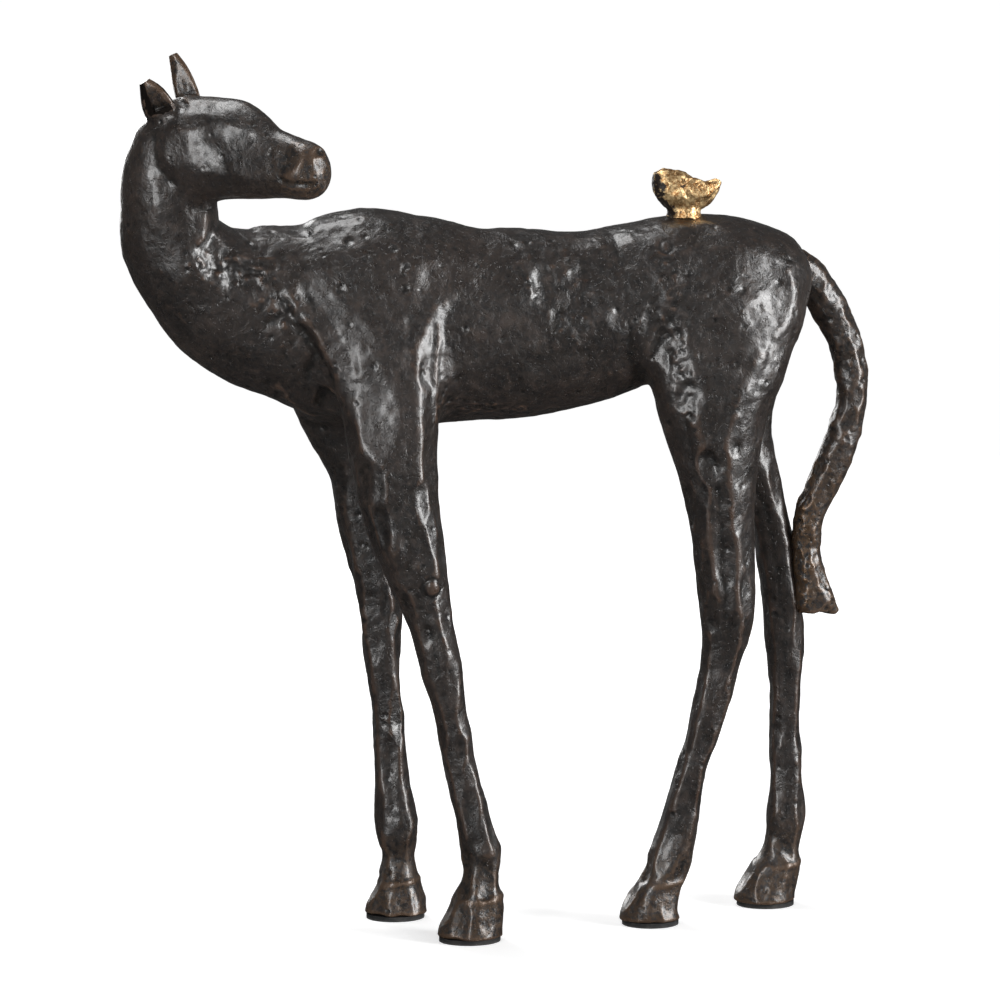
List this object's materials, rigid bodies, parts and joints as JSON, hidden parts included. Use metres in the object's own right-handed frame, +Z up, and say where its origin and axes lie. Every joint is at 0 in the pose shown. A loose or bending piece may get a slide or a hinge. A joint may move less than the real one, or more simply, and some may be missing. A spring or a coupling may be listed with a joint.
{
  "type": "bronze animal statuette",
  "caption": "Tabletop cast figure of a long-legged horse looking back over its shoulder, with a small gilded bird on its rump.",
  "frame": {"origin": "on the floor, under the middle of the whole figure", "axes": "+Z up, the horse's chest towards -X and its left flank towards -Y"},
  "size_m": [0.3973, 0.1245, 0.4559],
  "materials": {
    "bronze": "dark brown-black patina under satin lacquer",
    "bronze_rubbed": "dark patina rubbed back to warm brown",
    "gold_leaf": "rubbed gold leaf over dark brown",
    "steel": "ground",
    "pad": "matt"
  },
  "bodies": {
    "root": {"trunk_casting": "bronze", "neck_casting": "bronze", "head_casting": "bronze", "ear_left": "bronze", "ear_right": "bronze", "front_leg_left": "bronze", "front_leg_right": "bronze", "hind_leg_left": "bronze", "hind_leg_right": "bronze", "tail_casting": "bronze_rubbed", "bird_casting": "gold_leaf", "bird_stud": "steel", "front_pin_left": "steel", "front_pin_right": "steel", "hind_pin_left": "steel", "hind_pin_right": "steel", "head_pin": "steel", "tail_pin": "steel", "neck_pin_left": "steel", "neck_pin_right": "steel", "pad_front_left": "pad", "pad_front_right": "pad", "pad_hind_left": "pad", "pad_hind_right": "pad"}
  },
  "joints": []
}
